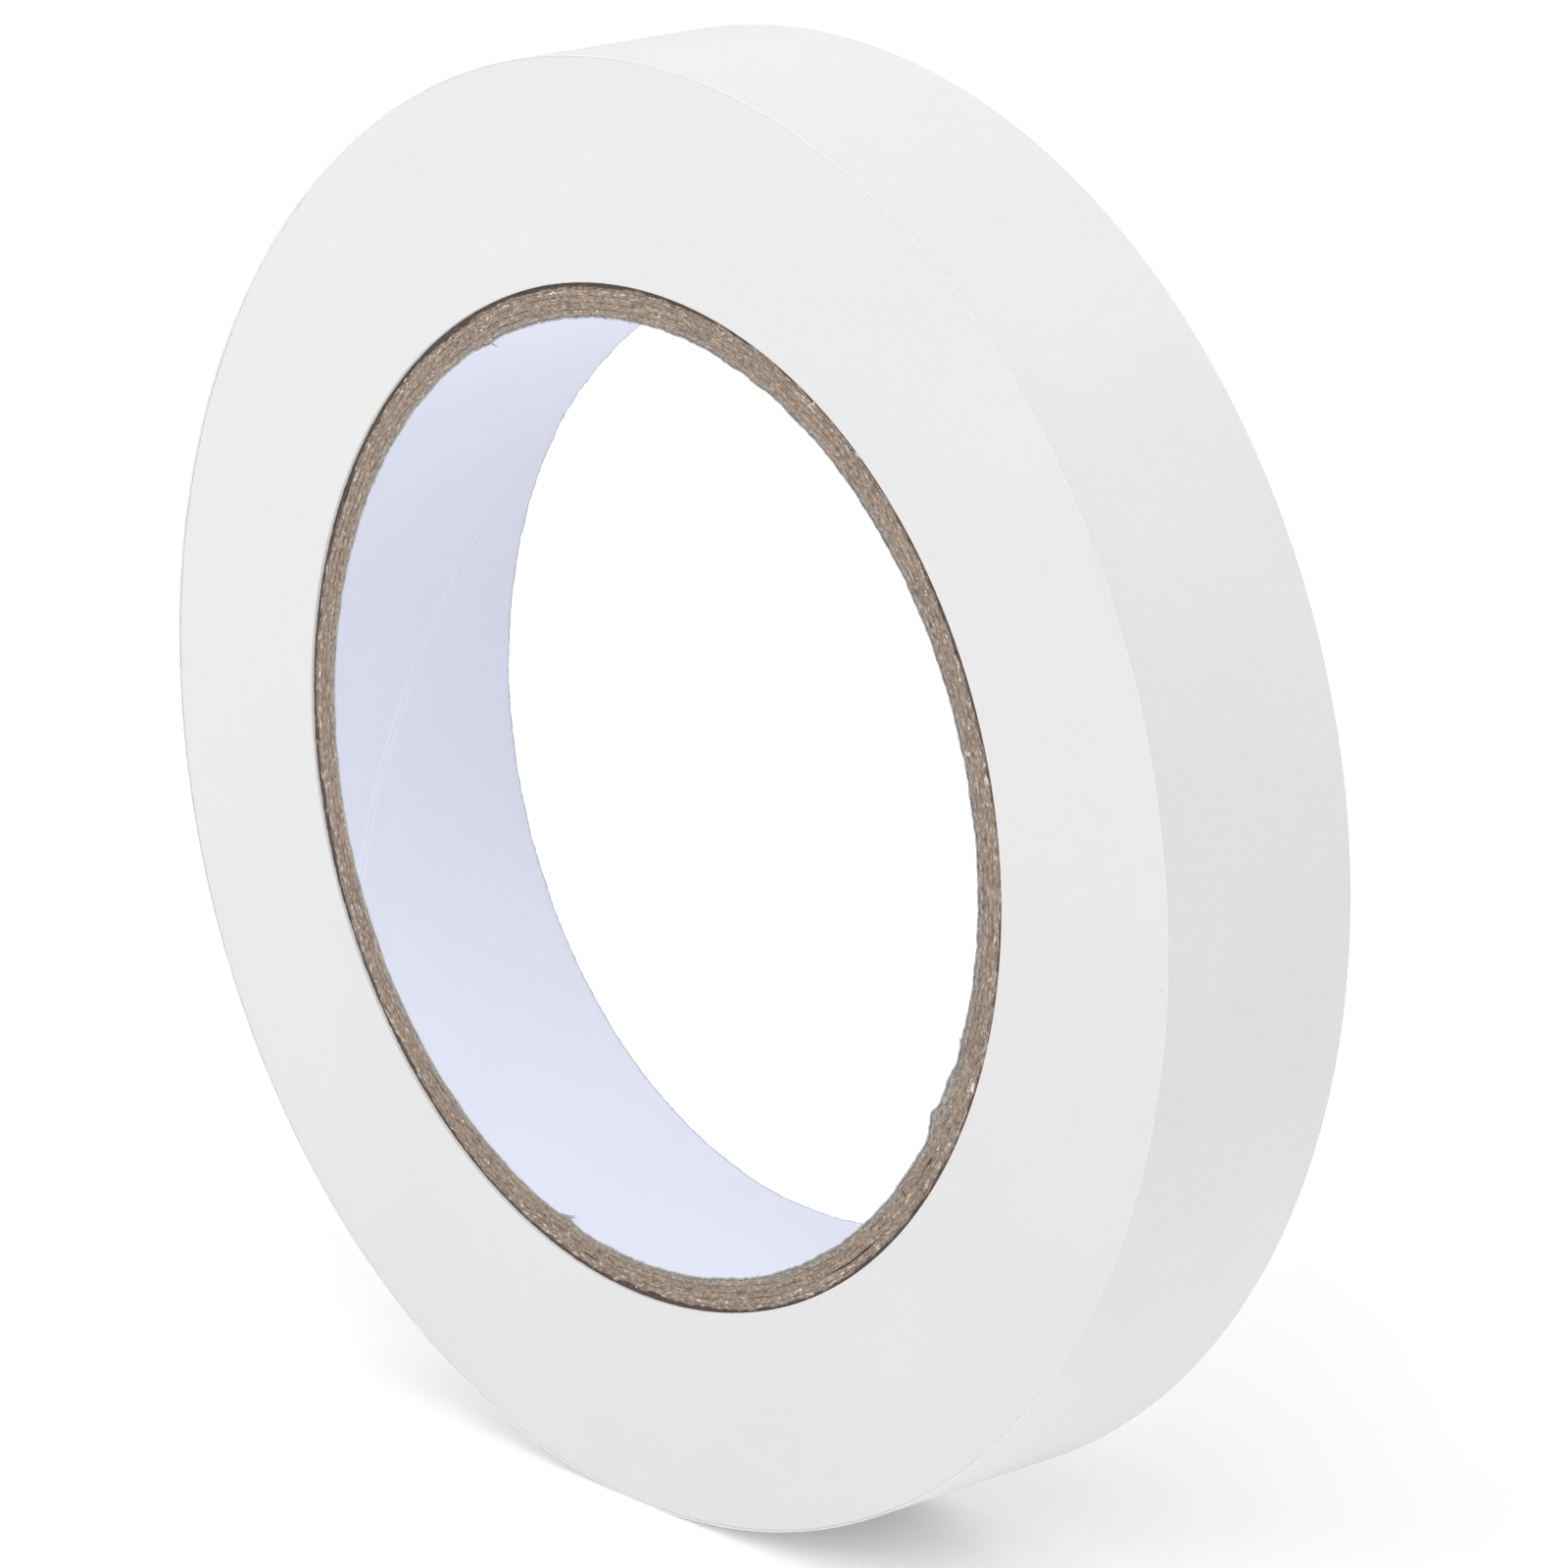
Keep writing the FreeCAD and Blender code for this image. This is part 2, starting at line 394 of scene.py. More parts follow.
def chipboard_material():
    """Grey-brown recycled board, cut across: fibres that lie along the plies, cream flecks that are
    commoner outwards, a greyer inner ply and a dark rim of uneven width at the outer edge, partly
    a darker glued edge and partly painted shadow of the gap between the core and the tape."""
    nodes = Nodes("chipboard")
    coarse = nodes.ring_noise(1.3 * MM, 0.6 * MM, 0.45 * MM, detail=3)
    fibre = nodes.ring_noise(0.46 * MM, 0.2 * MM, 0.17 * MM, detail=4, roughness=0.72)
    slow = nodes.ring_noise(16 * MM, 6 * MM, 3 * MM, detail=1)
    colour = nodes.ramp(fibre, [(0.30, (0.095, 0.066, 0.050)), (0.44, (0.255, 0.196, 0.157)),
                                (0.54, (0.325, 0.256, 0.207)), (0.68, (0.60, 0.505, 0.42))])
    colour = nodes.shade(colour, 0.6, coarse, [(0.3, (0.66, 0.65, 0.64)), (0.6, (1.12, 1.12, 1.11))])
    inner_ply = nodes.between(nodes.wander(nodes.radius, coarse, 1.2 * MM),
                              LINER_OUTER + 0.45 * MM, LINER_OUTER + 0.05 * MM)
    greyer = nodes.ramp(fibre, [(0.33, (0.12, 0.115, 0.11)), (0.6, (0.43, 0.405, 0.38))])
    colour = nodes.cover(colour, inner_ply, 0.6, greyer)
    flake = nodes.ring_noise(0.62 * MM, 0.4 * MM, 0.2 * MM, detail=2)
    outwards = nodes.between(nodes.radius, CORE_OUTER - 1.6 * MM, CORE_OUTER - 0.5 * MM)
    fleck = nodes.between(nodes.math("MULTIPLY_ADD", outwards, 0.06, flake), 0.65, 0.69)
    colour = nodes.cover(colour, fleck, 0.85, (0.72, 0.64, 0.56))
    # Dark rim at the outer edge: partly a darker glued edge, partly painted shadow of the gap between the core and
    # the tape.
    glue_and_gap_shadow = nodes.between(nodes.wander(nodes.wander(nodes.radius, coarse, 0.9 * MM), slow, 0.9 * MM),
                        CORE_OUTER - 0.43 * MM, CORE_OUTER - 0.26 * MM)
    colour = nodes.cover(colour, glue_and_gap_shadow, 0.88, (0.060, 0.043, 0.035))
    normal = nodes.bump(fibre, 0.12 * MM, 0.9)
    normal = nodes.bump(coarse, 0.18 * MM, 0.6, normal)
    return nodes.finish(colour, 0.93, normal, specular=0.2)


def liner_material():
    """Smooth white paper that lines the bore, with a faint cool tone. Its cut edges are greyish.
    Along its butt joint a lighter band is painted in: a painted highlight of the ridge beside the
    joint. That painted highlight fades out towards the back."""
    nodes = Nodes("liner_paper")
    cloud = nodes.noise(90, detail=4)
    fibre = nodes.noise(2200, detail=5, roughness=0.7)
    colour = nodes.ramp(cloud, [(0.3, (0.765, 0.785, 0.890)), (0.7, (0.780, 0.798, 0.902))])
    colour = nodes.shade(colour, 0.12, fibre, [(0.3, grey(0.88)), (0.7, WHITE)])
    seam = nodes.math("MULTIPLY_ADD", nodes.y, -math.tan(SEAM_SLANT) / BORE, LINER_SEAM)
    cosine, sine = nodes.math("COSINE", seam), nodes.math("SINE", seam)
    off_seam = nodes.math("SUBTRACT", nodes.math("MULTIPLY", nodes.z, cosine),
                          nodes.math("MULTIPLY", nodes.x, sine))
    towards_seam = nodes.math("ADD", nodes.math("MULTIPLY", nodes.x, cosine),
                              nodes.math("MULTIPLY", nodes.z, sine))
    # Painted highlight: a lighter band along the butt joint for the light that the ridge beside it catches, fading
    # out towards the back.
    painted_seam_highlight = nodes.between(nodes.math("ABSOLUTE", off_seam), 1.3 * MM, 0.1 * MM)
    painted_seam_highlight = nodes.math("MULTIPLY", painted_seam_highlight, nodes.math("GREATER_THAN", towards_seam, 0.0))
    painted_seam_highlight = nodes.math("MULTIPLY", painted_seam_highlight, nodes.between(nodes.y, 6.5 * MM, 0.5 * MM))
    colour = nodes.cover(colour, painted_seam_highlight, 0.32, (0.90, 0.92, 1.0))
    off_middle = nodes.math("MULTIPLY_ADD", fibre, 0.10 * MM, nodes.math("ABSOLUTE", nodes.y))
    stain = nodes.between(off_middle, CORE_HALF_WIDTH - 0.10 * MM, CORE_HALF_WIDTH + 0.02 * MM)
    stained = nodes.ramp(fibre, [(0.35, (0.20, 0.19, 0.18)), (0.6, (0.46, 0.44, 0.42))])
    colour = nodes.mix(stain, colour, stained)
    normal = nodes.bump(fibre, 0.02 * MM, 0.25)
    return nodes.finish(colour, 0.62, normal, specular=0.35)


def chip_material():
    """Bits of white and cream paper in the board."""
    nodes = Nodes("paper_chip")
    cloud = nodes.noise(1800, detail=3)
    colour = nodes.ramp(cloud, [(0.35, (0.60, 0.54, 0.47)), (0.65, (0.82, 0.79, 0.74))])
    return nodes.finish(colour, 0.9, nodes.bump(cloud, 0.04 * MM, 0.5))


def floor_material():
    """Plain white floor that glows faintly, more so away from the roll, like a lit white sweep.
    The glow grows between two distances from the roll's axis."""
    near_glow, more_glow = 0.13, 0.2
    near_roll, far_off = 0.1, 0.45
    nodes = Nodes("studio_floor")
    cloud = nodes.noise(3, detail=2)
    colour = nodes.ramp(cloud, [(0.3, (0.93, 0.93, 0.935)), (0.7, grey(0.94))])
    away = nodes.math("SQRT", nodes.math("MULTIPLY_ADD", nodes.x, nodes.x,
                                         nodes.math("MULTIPLY", nodes.y, nodes.y)))
    glow = nodes.math("MULTIPLY_ADD", nodes.between(away, near_roll, far_off), more_glow, near_glow)
    nodes.shader.inputs["Emission Color"].default_value = (*WHITE, 1)
    nodes.join(glow, nodes.shader.inputs["Emission Strength"])
    return nodes.finish(colour, 0.9)


CREPE = crepe_material()
EDGES = edge_material()
GLUE = adhesive_material()
BOARD = chipboard_material()
LINER = liner_material()
CHIP = chip_material()


def dress(piece, material, slot, body, *nodes):
    """Gives a piece its material, replaces the nodes it stands for and rides it on a body where one
    is given. The slot is not used."""
    piece.data.materials.append(material)
    if nodes:
        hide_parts(*nodes)
    if body:
        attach(piece, body)
    return piece


# ---------------------------------------------------------------- the strip

# Lengths along the strip over which its crepe changes: the ridges, the swells that they ride on,
# the patches in which they fade, and the way they wander. Ridges make this share of the relief.
RIDGE_LENGTH = 0.28 * MM
SWELL_LENGTH = 0.9 * MM
PATCH_LENGTH = 1.7 * MM
WANDER_LENGTH = 4 * MM
RIDGE_SHARE = 0.65
CREPE_SEED = 11

# Places across the strip, from 0 to 1, where its section has a column of points. They crowd at
# the slit edges.
ACROSS = np.array([0, 0.004, 0.02, 0.33, 0.67, 0.98, 0.996, 1])[None, :]

# Shares of the backing's and of the adhesive's thickness that the crepe takes.
CREPE_IN_BACKING = 0.12
CREPE_IN_ADHESIVE = 0.2

# How far the slit edges wander, over which length, and how far the adhesive and the wound turns
# are set in from the strip's edges.
SLIT_WANDER = 0.02 * MM
SLIT_LENGTH = 0.5 * MM
SET_IN = 0.06 * MM

# The last turn's rows, and the angle it leaves open so that it doesn't meet its own end. Rows of
# the free end are this far apart.
LAST_TURN_ROWS = 4200
LAST_TURN_SLIT = 0.0015
FREE_ROW = 0.09 * MM


def turn_radius(angle):
    """Inner radius of the backing of the last whole turn, which ends at the root of the free end:
    it grows by one pitch over that turn."""
    return TAIL_RADIUS - PITCH * (ROOT_ANGLE - angle) / TURN


def crepe_relief(arc, across, seed):
    """Height of the crepe wrinkles from -1 to 1 at a length along the strip and a place from 0 to 1
    across it: ridges about half a millimetre apart that run across the strip, wander a little and
    fade in and out."""
    wander = 0.5 * line_noise(arc / WANDER_LENGTH, seed) * (across - 0.5)
    ridge = line_noise(arc / RIDGE_LENGTH + wander, seed + 1)
    swell = line_noise(arc / SWELL_LENGTH - 2 * wander, seed + 2)
    patch = 0.6 + 0.4 * line_noise(arc / PATCH_LENGTH + across * 5.0, seed + 3)
    return (RIDGE_SHARE * ridge + (1 - RIDGE_SHARE) * swell) * patch


def strip_section(angles, seed):
    """Section of the backing at each angle, closed: the creped face in columns across the width,
    then the flat inner face back. The slit edges stay crisp and wander by a few hundredths of a
    millimetre. Returns radii above the inner face and places across."""
    relief = crepe_relief((angles * OUTER)[:, None], ACROSS, seed)
    top = BACKING * (1 - CREPE_IN_BACKING + CREPE_IN_BACKING * relief)
    edge = HALF_WIDTH - SLIT_WANDER * (1 + line_noise(angles * OUTER / SLIT_LENGTH, seed + 7))
    y_top = (2 * ACROSS - 1) * edge[:, None]
    return np.hstack([top, 0 * top]), np.hstack([y_top, y_top[:, ::-1]])


def adhesive_section(angles, seed):
    """Section of the adhesive under the backing, set in a little at the slit edges. Its sticky face
    repeats the backing's wrinkles, less deeply."""
    relief = crepe_relief((angles * OUTER)[:, None], ACROSS, seed)
    sticky = -ADHESIVE * (1 - CREPE_IN_ADHESIVE + CREPE_IN_ADHESIVE * relief)
    y = (2 * ACROSS - 1) * (HALF_WIDTH - SET_IN) + 0 * angles[:, None]
    return np.hstack([0 * sticky, sticky]), np.hstack([y, y[:, ::-1]])


def outer_turn():
    """The last whole turn of the strip: its section carried once round the roll along the spiral."""
    start = ROOT_ANGLE - TURN + LAST_TURN_SLIT
    angles = start + np.linspace(0, TURN - LAST_TURN_SLIT, LAST_TURN_ROWS)
    height, y = strip_section(angles, CREPE_SEED)
    radius = turn_radius(angles)[:, None] + height
    return bar_mesh("outer_turn", polar(radius, angles[:, None], y))


def wound_sides():
    """The turns under the last one as one closed ring. Going round its section: the front side from
    the core outwards, across the tread, and the back side inwards. The sides carry a relief that
    follows the spiral: a fine height for each place along the strip, blended from turn to turn,
    on a broad one that changes over the whole side."""
    around, per_side = 300, 150
    under_last_turn = 0.01 * MM
    fine_height, broad_height = 0.0035 * MM, 0.05 * MM
    heights_per_turn = 3
    broad_round, broad_out = 9, 4
    angles = np.arange(around) / around * TURN
    outer_edge = turn_radius((angles - ROOT_ANGLE) % TURN + ROOT_ANGLE - TURN) - under_last_turn
    share = np.linspace(0, 1, per_side)[None, :]
    radius = WIND_START + (outer_edge[:, None] - WIND_START) * share
    turn = angles[:, None] / TURN

    def relief(seed):
        spiral = (radius - WIND_START) / PITCH - turn
        whole = np.floor(spiral)
        along = whole + turn
        step = smoothstep(spiral - whole)
        here = line_noise(along * heights_per_turn, seed)
        outward = line_noise((along + 1) * heights_per_turn, seed)
        fine = here * (1 - step) + outward * step
        broad = lattice_noise(turn + 0 * radius, share + 0 * turn, broad_round, broad_out, seed + 1)
        return fine_height * fine + broad_height * broad

    front = -HALF_WIDTH + SET_IN + relief(21)
    back = HALF_WIDTH - SET_IN - relief(31)
    points = np.concatenate([
        polar(radius, angles[:, None], front),
        polar(radius, angles[:, None], back)[:, ::-1],
    ], 1)
    return ring_mesh("wound_turns", points)


def tail_body(number):
    return "roll" if number == 0 else "tail_%02d" % number


def free_end():
    """The free end in lengths from the middle of one body to the middle of the next. The backing and
    the adhesive are separate pieces. The last length is half as long and rides on the last body."""
    for number in range(1, TAIL_LENGTHS + 2):
        first = ROOT_ANGLE + max(number - 1.5, 0) * LENGTH_ANGLE
        last = ROOT_ANGLE + min(number - 0.5, TAIL_LENGTHS) * LENGTH_ANGLE
        angles = np.linspace(first, last, int((last - first) * OUTER / FREE_ROW))
        for name, section, material, slot, node in (
            ("free_end_%02d", strip_section, CREPE, "crepe_paper", "tail_backing_%02d"),
            ("free_end_adhesive_%02d", adhesive_section, GLUE, "adhesive", "tail_adhesive_%02d"),
        ):
            height, y = section(angles, CREPE_SEED)
            piece = bar_mesh(name % number, polar(TAIL_RADIUS + height, angles[:, None], y))
            if number > TAIL_LENGTHS:
                dress(piece, material, slot, tail_body(TAIL_LENGTHS))
                continue
            dress(piece, material, slot, None, node % number)
            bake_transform(piece)


# ---------------------------------------------------------------- the core

# Lumps of the front cut edge: degrees, half length and height in millimetres.
LUMPS = (
    (332.3, 1.2, 0.66), (337.0, 1.9, 0.36), (345.0, 1.6, 0.16),
    (12.0, 1.2, 0.10), (256.0, 0.8, 0.30), (118.0, 0.6, 0.2),
)
# Splits between plies on the front: degrees, half length and half gap in millimetres, and the
# number of the ply that they lie outside of.
SPLITS = (
    (260.5, 0.9, 0.10, 3), (306.5, 1.6, 0.08, 3),
    (310.5, 1.2, 0.11, 3), (327.0, 0.5, 0.08, 2),
)
# Larger burrs of the front edge: degrees, length and half thickness in millimetres, way round,
# how much they lean inwards and how much they bend.
BURRS = (
    (254.8, 1.7, 0.06, 1, 0.25, 0.25), (255.6, 1.0, 0.08, 1, 0.45, 0.1),
    (118.0, 0.6, 0.06, -1, 0.7, 0.1), (332.0, 0.6, 0.07, 1, 0.6, -0.2),
    (343.0, 0.5, 0.05, 1, 0.4, 0.1),
)
# Larger chips of the front face: degrees, radius and half width in millimetres.
CHIPS = ((14.5, 40.15, 0.2), (339.5, 40.2, 0.28), (338.7, 39.9, 0.12))

# Crumpled edge: half the height of its waves and of its finer crumples, and how deep behind the
# cut face it, the lumps and the splits reach before they fade out.
WAVE_HEIGHT = 0.065 * MM
CRUMPLE_HEIGHT = 0.06 * MM
CRUMPLE_DEPTH = 0.4 * MM
LUMP_DEPTH = 1.1 * MM
SPLIT_DEPTH = 0.7 * MM
# Plies part where a noise is over the first value, by this much for each whole step above it.
LOOSE_FROM = 0.35
LOOSE_GAP = 0.05 * MM

# Rounding and roughness of the cut faces, open butt joints, and the ridge beside the liner's joint.
EDGE_ROUNDING = 0.04 * MM
LINER_ROUGHNESS = 0.03 * MM
BOARD_ROUGHNESS = 0.09 * MM
LINER_GAP = 0.012 * MM
BOARD_GAP = 0.1 * MM
RIDGE_HEIGHT = 0.035 * MM
RIDGE_REACH = 0.8 * MM
# Points of a layer: rows round it, columns on a cut face and columns on a side.
LINER_COUNTS = (1100, 4, 30)
BOARD_COUNTS = (1500, 8, 12)

# Loose fibres and paper chips: how many, the points that each has, and the shares of them that
# are on the front and at the bore.
LOOSE_FIBRES = 150
FIBRE_ROWS = 5
FIBRES_IN_FRONT = 0.55
FIBRES_AT_BORE = 0.6
PAPER_CHIPS = 46
CHIP_CORNERS = 8
CHIPS_IN_FRONT = 0.6


def seam_angle(middle, y, radius):
    """Angle of a helical butt joint at a place across the width: it leans by the seam's slant."""
    return middle - y * math.tan(SEAM_SLANT) / radius


def near(angle, degrees, half_length):
    """A bell round one angle: 1 there, falling off over a half length measured on the bore."""
    away = (angle - math.radians(degrees) + math.pi) % TURN - math.pi
    return np.exp(-(away * BORE / half_length) ** 2)


def lean(angle, y, radius):
    """How far the core's cut edges lean into the bore: a wavy crumpled edge up to a quarter of a
    millimetre high, and larger lumps on the front. It fades out within a few millimetres behind
    the cut face, and to nothing at the tape."""
    turn = angle / TURN
    back = (y > 0) * 1.0
    depth = np.clip(CORE_HALF_WIDTH - np.abs(y), 0, None)
    wave = lattice_noise(turn, back, 150, 1, 71)
    crumple = lattice_noise(turn, back, 640, 1, 73)
    edge = WAVE_HEIGHT * (1 + wave) + CRUMPLE_HEIGHT * (1 + crumple)
    lumps = sum(height * near(angle, degrees, length * MM) for degrees, length, height in LUMPS)
    lumps = lumps * MM * (1 - back) * np.exp(-depth / LUMP_DEPTH)
    share = np.clip((CORE_OUTER - radius) / (CORE_OUTER - BORE), 0, 1)
    return (edge * np.exp(-depth / CRUMPLE_DEPTH) + lumps) * smoothstep(share)


def parting(angle, y, radius):
    """Half the gap between two plies where the cut has pulled them apart: none over most of the
    turn, a few hundredths of a millimetre in places and a few longer splits on the front."""
    turn = angle / TURN
    depth = np.clip(CORE_HALF_WIDTH - np.abs(y), 0, None)
    layer = np.round((radius - LINER_OUTER) / PLY)
    layers = len(PLY_NODES) + 1
    open_by = np.clip(lattice_noise(turn, layer / layers, 110, layers, 77) - LOOSE_FROM, 0, None)
    splits = sum(half * near(angle, degrees, length * MM) * (layer == place)
                 for degrees, length, half, place in SPLITS)
    return (LOOSE_GAP * open_by + splits * MM * (y < 0)) * np.exp(-depth / SPLIT_DEPTH)


def core_layer(name, inner, outer, seam, gap, counts, roughness, ridge, seed):
    """One layer of the core as an open ring that stops at both sides of its butt joint. Its section
    starts at the middle of the front cut face and goes over the outer side, the back cut face and
    the inner side. The cut faces are rough: fine fibres on slow waves, and each layer's edge is
    rounded off. Beside the joint the inner side rises by the ridge, where the strip's edge lifts.
    Neighbouring plies part in places."""
    around, face_columns, side_columns = counts
    share = np.linspace(0, 1, face_columns)
    rounding = EDGE_ROUNDING * (1 - np.sqrt(np.clip(1 - (2 * share - 1) ** 6, 0, 1)))
    side = np.sin(np.linspace(-math.pi / 2, math.pi / 2, side_columns + 2)[1:-1])
    none = np.zeros(side_columns)
    face = np.ones(face_columns)
    start = -(face_columns // 2)
    radial = np.roll(np.concatenate([share, none + 1, share[::-1], none]), start)
    place = np.roll(np.concatenate([-face, side, face, side[::-1]]), start)
    inset = np.roll(np.concatenate([rounding, none, rounding[::-1], none]), start)
    turn = np.linspace(0, 1, around)[:, None]
    columns = len(radial)
    section = (np.arange(columns) / columns)[None, :]
    fine = lattice_noise(turn + 0 * section, section + 0 * turn, around // 2, columns // 2, seed)
    wave = lattice_noise(turn + 0 * section, section + 0 * turn, 60, 6, seed + 1)
    on_face = (np.abs(place) == 1)[None, :]
    y = place[None, :] * (CORE_HALF_WIDTH - inset[None, :])
    y = y - np.sign(place)[None, :] * on_face * roughness * (0.75 + 0.5 * fine + 0.25 * wave)
    length = TURN * inner
    bell = (np.exp(-(turn * length / RIDGE_REACH) ** 2)
            + np.exp(-((length - turn * length) / RIDGE_REACH) ** 2))
    radius = inner + (outer - inner) * radial[None, :] - ridge * bell * (radial[None, :] == 0)
    angle = seam_angle(seam, y, inner) + gap / 2 / inner + turn * (TURN - gap / inner)
    if inner > LINER_OUTER + PLY / 2:
        radius = radius + parting(angle, y, inner + 0 * angle) * (radial[None, :] == 0)
    if LINER_OUTER + PLY / 2 < outer < CORE_OUTER - PLY / 2:
        radius = radius - parting(angle, y, outer + 0 * angle) * (radial[None, :] == 1)
    radius = radius - lean(angle, y, radius)
    return bar_mesh(name, polar(radius, angle, y))


def core():
    liner = core_layer("core_liner_paper", BORE, LINER_OUTER, LINER_SEAM, LINER_GAP,
                       LINER_COUNTS, LINER_ROUGHNESS, RIDGE_HEIGHT, 41)
    dress(liner, LINER, "liner_paper", "roll", "core_liner")
    for number, node in enumerate(PLY_NODES):
        inner = LINER_OUTER + number * PLY
        seam = FIRST_PLY_SEAM + PLY_SEAM_STEP * (number + 1)
        piece = core_layer("core_board_%d" % (number + 1), inner, inner + PLY, seam, BOARD_GAP,
                           BOARD_COUNTS, BOARD_ROUGHNESS, 0, 50 + number * 7)
        dress(piece, BOARD, "chipboard", "roll", node)


def loose_fibres():
    """Loose fibres on the core's cut edges, all in one piece. Each is a thin four-sided bar: it
    starts at the edge, leaves it mostly along the circle, bends with the square of the way along
    and tapers to its tip. The first few are the larger burrs."""
    rng = np.random.default_rng(91)
    count = LOOSE_FIBRES
    angle = rng.uniform(0, TURN, count)
    front = rng.uniform(0, 1, count) < FIBRES_IN_FRONT
    at_bore = rng.uniform(0, 1, count) < FIBRES_AT_BORE
    length = rng.uniform(0.25, 0.9, count) * MM
    thick = rng.uniform(0.014, 0.035, count) * MM
    spin = rng.choice([-1.0, 1.0], count)
    rise = rng.uniform(-0.1, 0.45, count)
    bend = rng.uniform(-0.4, 0.5, count)
    for k, (degrees, size, width, way, out, curl) in enumerate(BURRS):
        angle[k], length[k], thick[k] = math.radians(degrees), size * MM, width * MM
        spin[k], rise[k], bend[k], front[k], at_bore[k] = way, out, curl, True, True
    root = np.where(at_bore, BORE + 0.02 * MM, rng.uniform(BORE, CORE_OUTER, count))
    root[:len(BURRS)] = BORE - 0.2 * MM
    side = np.where(front, -1.0, 1.0)
    outwards = np.stack([np.cos(angle), 0 * angle, np.sin(angle)], -1)
    along = np.stack([-np.sin(angle), 0 * angle, np.cos(angle)], -1) * spin[:, None]
    facing = np.stack([0 * angle, side, 0 * angle], -1)
    start = outwards * root[:, None] + facing * (CORE_HALF_WIDTH - 0.12 * MM)
    t = np.linspace(0, 1, FIBRE_ROWS)[None, :, None]
    heading = along - outwards * (rise * at_bore)[:, None] + facing * 0.15 * (~at_bore)[:, None]
    curve = -outwards * (bend * at_bore)[:, None] + facing * 0.06
    line = start[:, None] + length[:, None, None] * (heading[:, None] * t + curve[:, None] * t * t)
    taper = thick[:, None, None] * (1 - 0.75 * t)
    corners = [line + taper * (a * outwards[:, None] + b * facing[:, None])
               for a, b in ((-1, -1), (1, -1), (1, 1), (-1, 1))]
    piece = many_bars("core_loose_fibres", np.stack(corners, 2), spin * side < 0)
    dress(piece, BOARD, "chipboard", "roll")


def paper_chips():
    """Pale chips of paper caught in the cut faces, in one piece. Each is a low dome of
    three rings of corners: one sunk in the board, the outline, and the top. The outline wobbles,
    and a chip is longer round the core than across it. The first few are the larger chips."""
    rng = np.random.default_rng(97)
    count = PAPER_CHIPS
    angle = rng.uniform(0, TURN, count)
    radius = CORE_OUTER - rng.beta(1.3, 2.2, count) * 2.2 * MM - 0.3 * MM
    size = rng.uniform(0.05, 0.13, count) * MM
    front = rng.uniform(0, 1, count) < CHIPS_IN_FRONT
    for k, (degrees, place, wide) in enumerate(CHIPS):
        angle[k], radius[k], size[k], front[k] = math.radians(degrees), place * MM, wide * MM, True
    spoke = np.arange(CHIP_CORNERS) / CHIP_CORNERS * TURN
    wobble = rng.uniform(0.7, 1.3, (count, 1, CHIP_CORNERS))
    ring = np.array([0.8, 1.0, 0.5])[None, :, None] * wobble * size[:, None, None]
    stretch = 1.7
    outwards = radius[:, None, None] + ring * np.sin(spoke)
    turn = angle[:, None, None] + stretch * ring * np.cos(spoke) / radius[:, None, None]
    depth = np.array([0.16, 0.10, 0.05])[None, :, None] * MM
    side = np.where(front, -1.0, 1.0)[:, None, None]
    points = polar(outwards, turn, side * (CORE_HALF_WIDTH - depth))
    dress(many_bars("core_paper_chips", points, front), CHIP, "liner_paper", "roll")


# ---------------------------------------------------------------- studio

FLOOR_REACH = 4.0
WORLD_COLOUR = (0.97, 0.98, 1.0, 1)
WORLD_STRENGTH = 0.33
# Square lights that point at the roll: name, place and edge in metres, and power in watts.
LIGHTS = (
    ("overhead", (0.05, -0.1, 0.9), 0.8, 2.5),
    ("front_left", (-0.6, -0.85, 0.15), 0.7, 5.4),
    ("front_top", (-0.15, -0.8, 0.75), 0.8, 1.2),
    ("front_right", (0.62, -0.55, 0.85), 0.8, 3.8),
    ("left_top", (-0.9, 0.0, 0.6), 0.8, 0.6),
    ("back_top", (0.1, 0.8, 0.7), 0.8, 3.6),
)
AZIMUTH, ELEVATION = math.radians(48.32), math.radians(16.11)
DISTANCE = 0.616


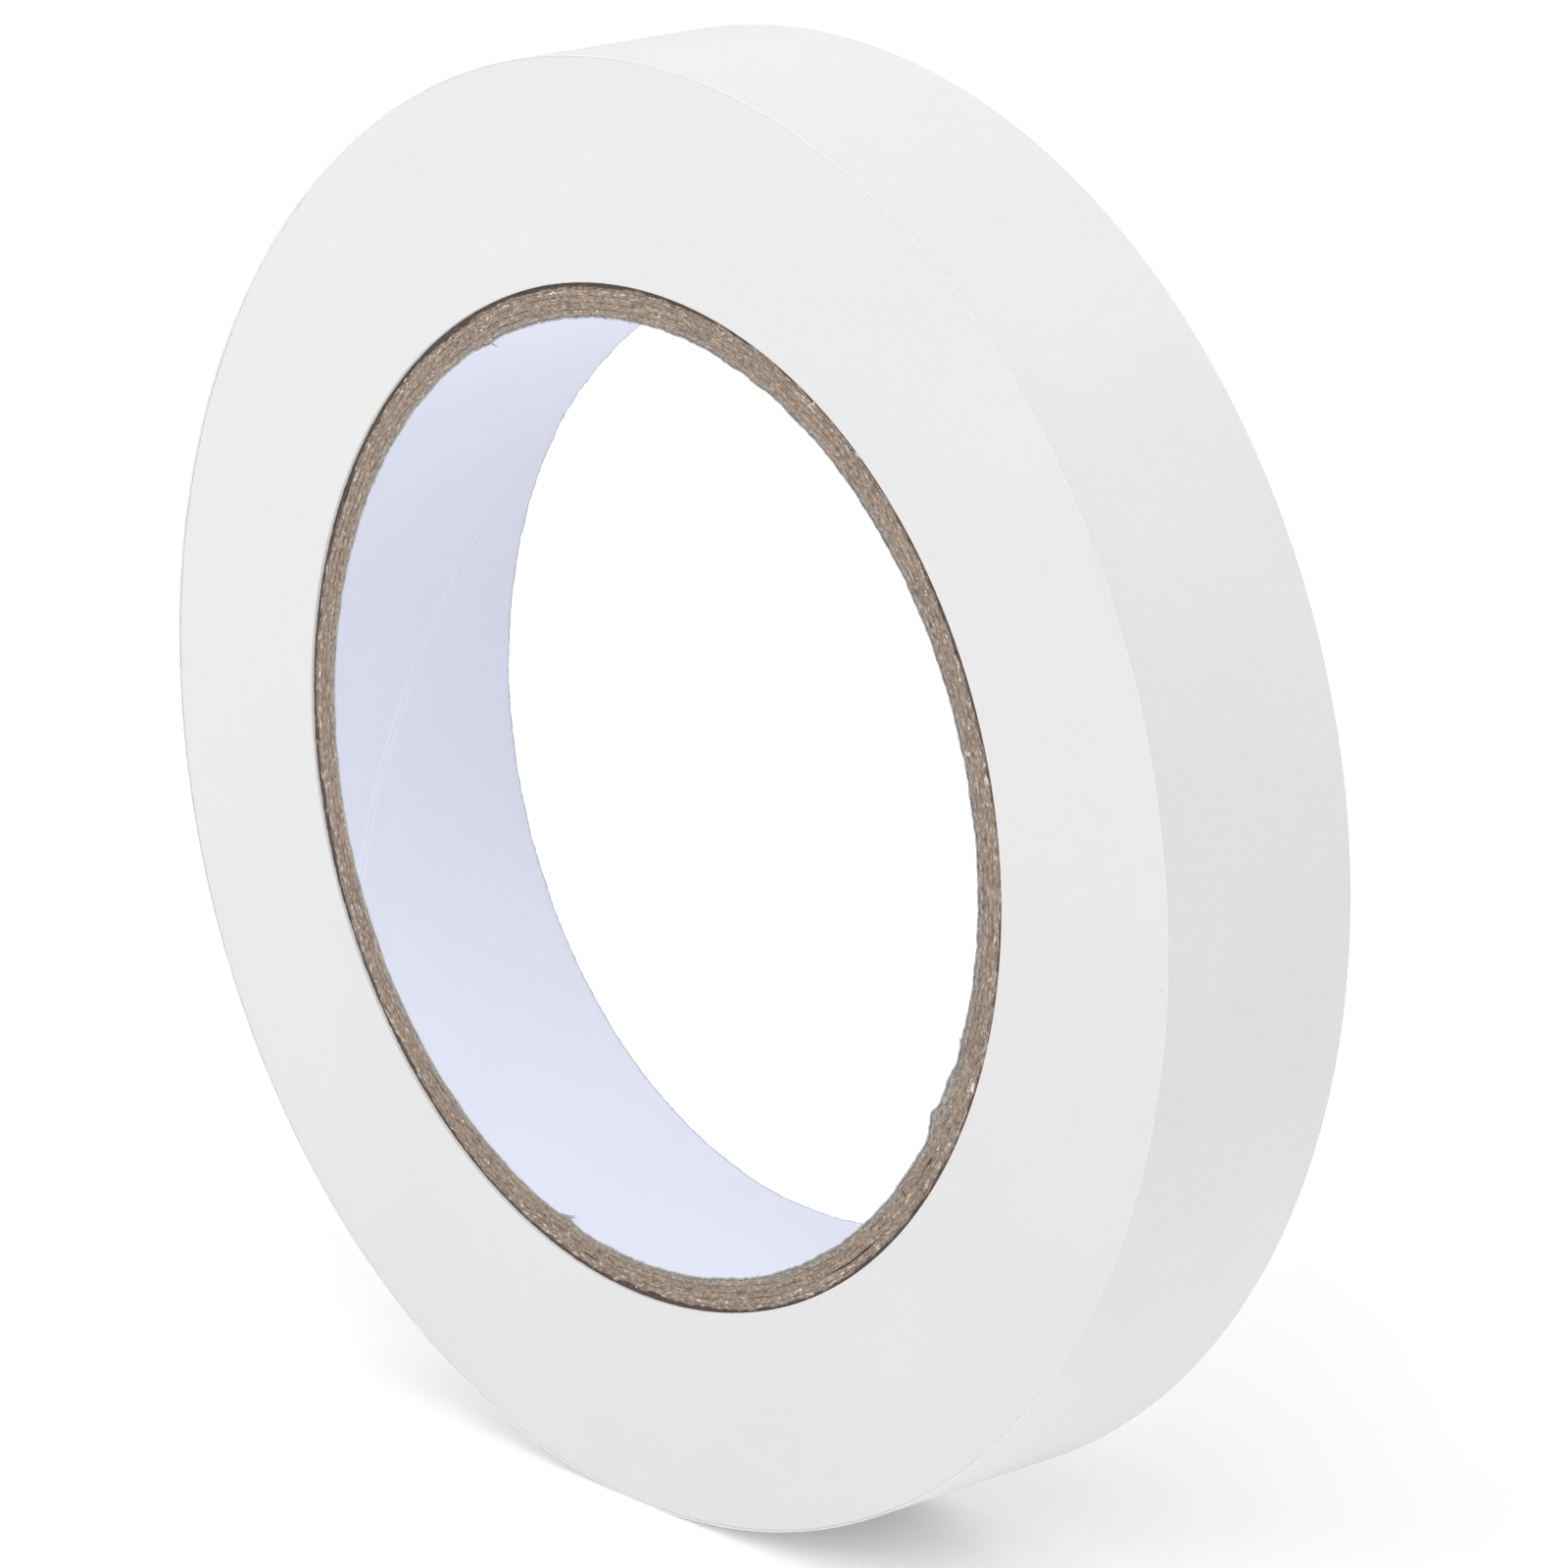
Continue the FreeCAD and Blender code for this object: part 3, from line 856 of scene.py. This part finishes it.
def aim(direction):
    """Euler angles that point an object's -Z along a direction, with +Y upwards."""
    return Vector(direction).to_track_quat("-Z", "Y").to_euler()


def place_in_scene(name, data, location, direction):
    """Puts a light or a camera at a place and points it along a direction."""
    item = bpy.data.objects.new(name, data)
    bpy.context.scene.collection.objects.link(item)
    item.location = location
    item.rotation_euler = aim(direction)
    return item


def studio():
    """A large pale floor that the roll stands on, and soft lights all round and above it."""
    floor_z = float(CAD_BOX[0][2])
    corners = [(-FLOOR_REACH, -FLOOR_REACH, floor_z), (FLOOR_REACH, -FLOOR_REACH, floor_z),
               (FLOOR_REACH, FLOOR_REACH, floor_z), (-FLOOR_REACH, FLOOR_REACH, floor_z)]
    mesh = bpy.data.meshes.new("studio_floor")
    mesh.from_pydata(corners, [], [(0, 1, 2, 3)])
    floor = bpy.data.objects.new("studio_floor", mesh)
    bpy.context.scene.collection.objects.link(floor)
    mesh.materials.append(floor_material())
    world = bpy.data.worlds.new("studio")
    bpy.context.scene.world = world
    world.use_nodes = True
    backdrop = world.node_tree.nodes["Background"]
    backdrop.inputs["Color"].default_value = WORLD_COLOUR
    backdrop.inputs["Strength"].default_value = WORLD_STRENGTH
    for name, place, edge, power in LIGHTS:
        light = bpy.data.lights.new(name, "AREA")
        light.shape = "SQUARE"
        light.size = edge
        light.energy = power
        place_in_scene(name, light, place, -np.array(place) / np.linalg.norm(place))


def camera():
    """A long lens on a 36 mm sensor, to the right of the front face and a little above it."""
    back = np.array([math.sin(AZIMUTH) * math.cos(ELEVATION),
                     -math.cos(AZIMUTH) * math.cos(ELEVATION), math.sin(ELEVATION)])
    data = bpy.data.cameras.new("camera")
    data.sensor_width = 36
    data.lens = 180
    data.shift_x = 0.0341
    data.shift_y = -0.0027
    data.clip_start = 0.01
    data.clip_end = 20
    bpy.context.scene.camera = place_in_scene("camera", data, back * DISTANCE, -back)
    bpy.context.scene.view_settings.view_transform = "Standard"


dress(wound_sides(), EDGES, "crepe_paper", "roll", "tape_turns")
dress(outer_turn(), CREPE, "crepe_paper", "roll")
free_end()
core()
loose_fibres()
paper_chips()
studio()
camera()
